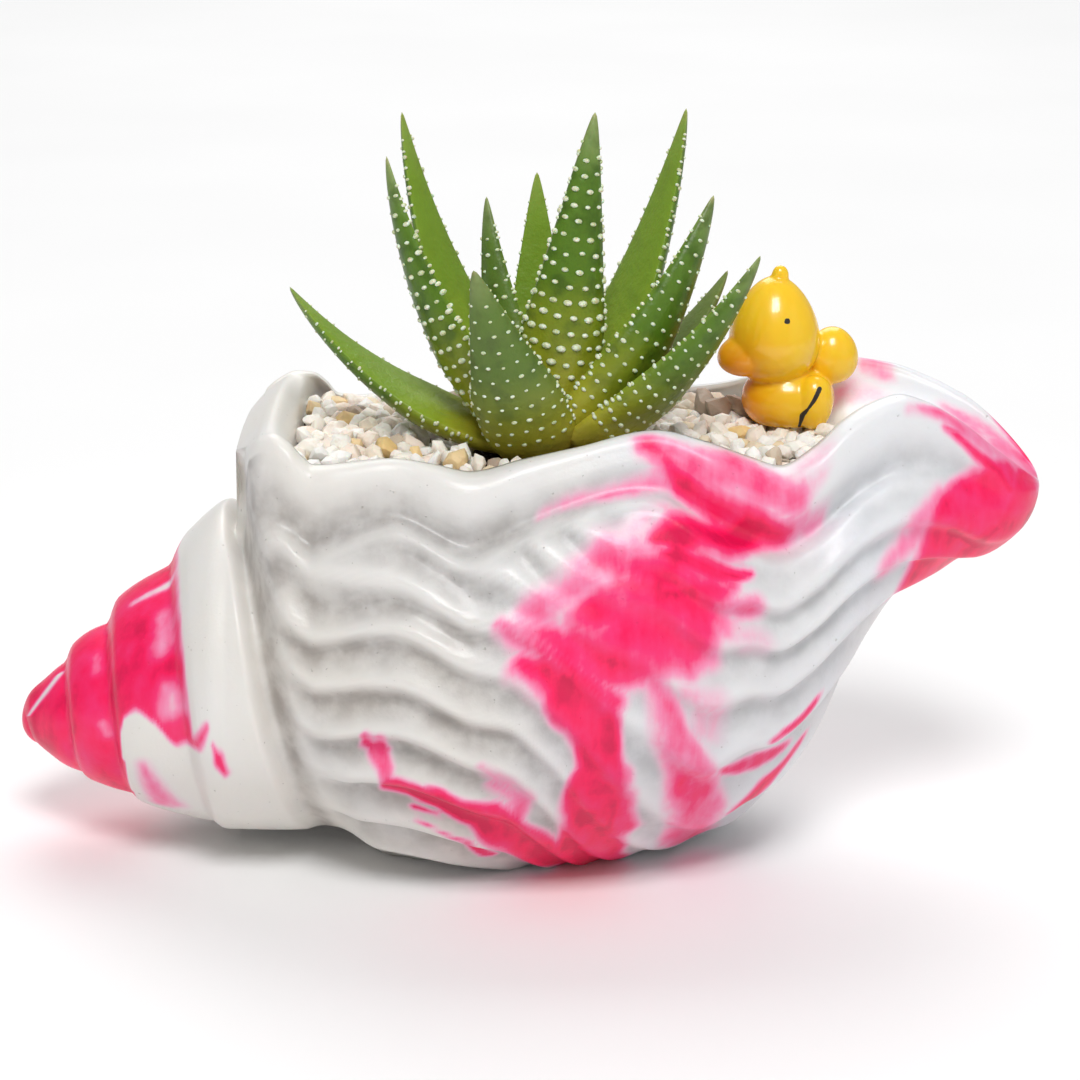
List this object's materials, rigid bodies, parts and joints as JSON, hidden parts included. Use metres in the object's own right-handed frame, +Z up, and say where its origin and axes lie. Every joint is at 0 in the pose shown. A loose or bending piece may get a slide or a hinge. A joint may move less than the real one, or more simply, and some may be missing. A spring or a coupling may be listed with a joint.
{
  "type": "potted haworthia",
  "caption": "Small haworthia succulent in a shell-shaped ceramic planter, topdressed with white grit, with a tiny glossy duck ornament beside it.",
  "frame": {"origin": "middle of the planter's flat base, on the surface it stands on", "axes": "+X along the shell to the end of its spout, +Y to the back, +Z up"},
  "size_m": [0.1413, 0.069, 0.1033],
  "materials": {
    "pot_ceramic": "satin white glaze with pink colour washed over it",
    "potting_soil": "matt crumbly",
    "white_grit": "matt pebbles",
    "plant_stem": "matt, fleshy",
    "haworthia_leaf": "waxy green with white tubercles",
    "duck_resin": "glossy, slightly translucent"
  },
  "bodies": {
    "root": {"pot": "pot_ceramic", "soil": "potting_soil", "grit": "white_grit", "stem": "plant_stem", "duck": "duck_resin", "leaf_01": "haworthia_leaf", "leaf_02": "haworthia_leaf", "leaf_03": "haworthia_leaf", "leaf_04": "haworthia_leaf", "leaf_05": "haworthia_leaf", "leaf_06": "haworthia_leaf", "leaf_07": "haworthia_leaf", "leaf_08": "haworthia_leaf", "leaf_09": "haworthia_leaf", "leaf_10": "haworthia_leaf", "leaf_11": "haworthia_leaf", "leaf_12": "haworthia_leaf", "leaf_13": "haworthia_leaf", "leaf_14": "haworthia_leaf"}
  },
  "joints": []
}
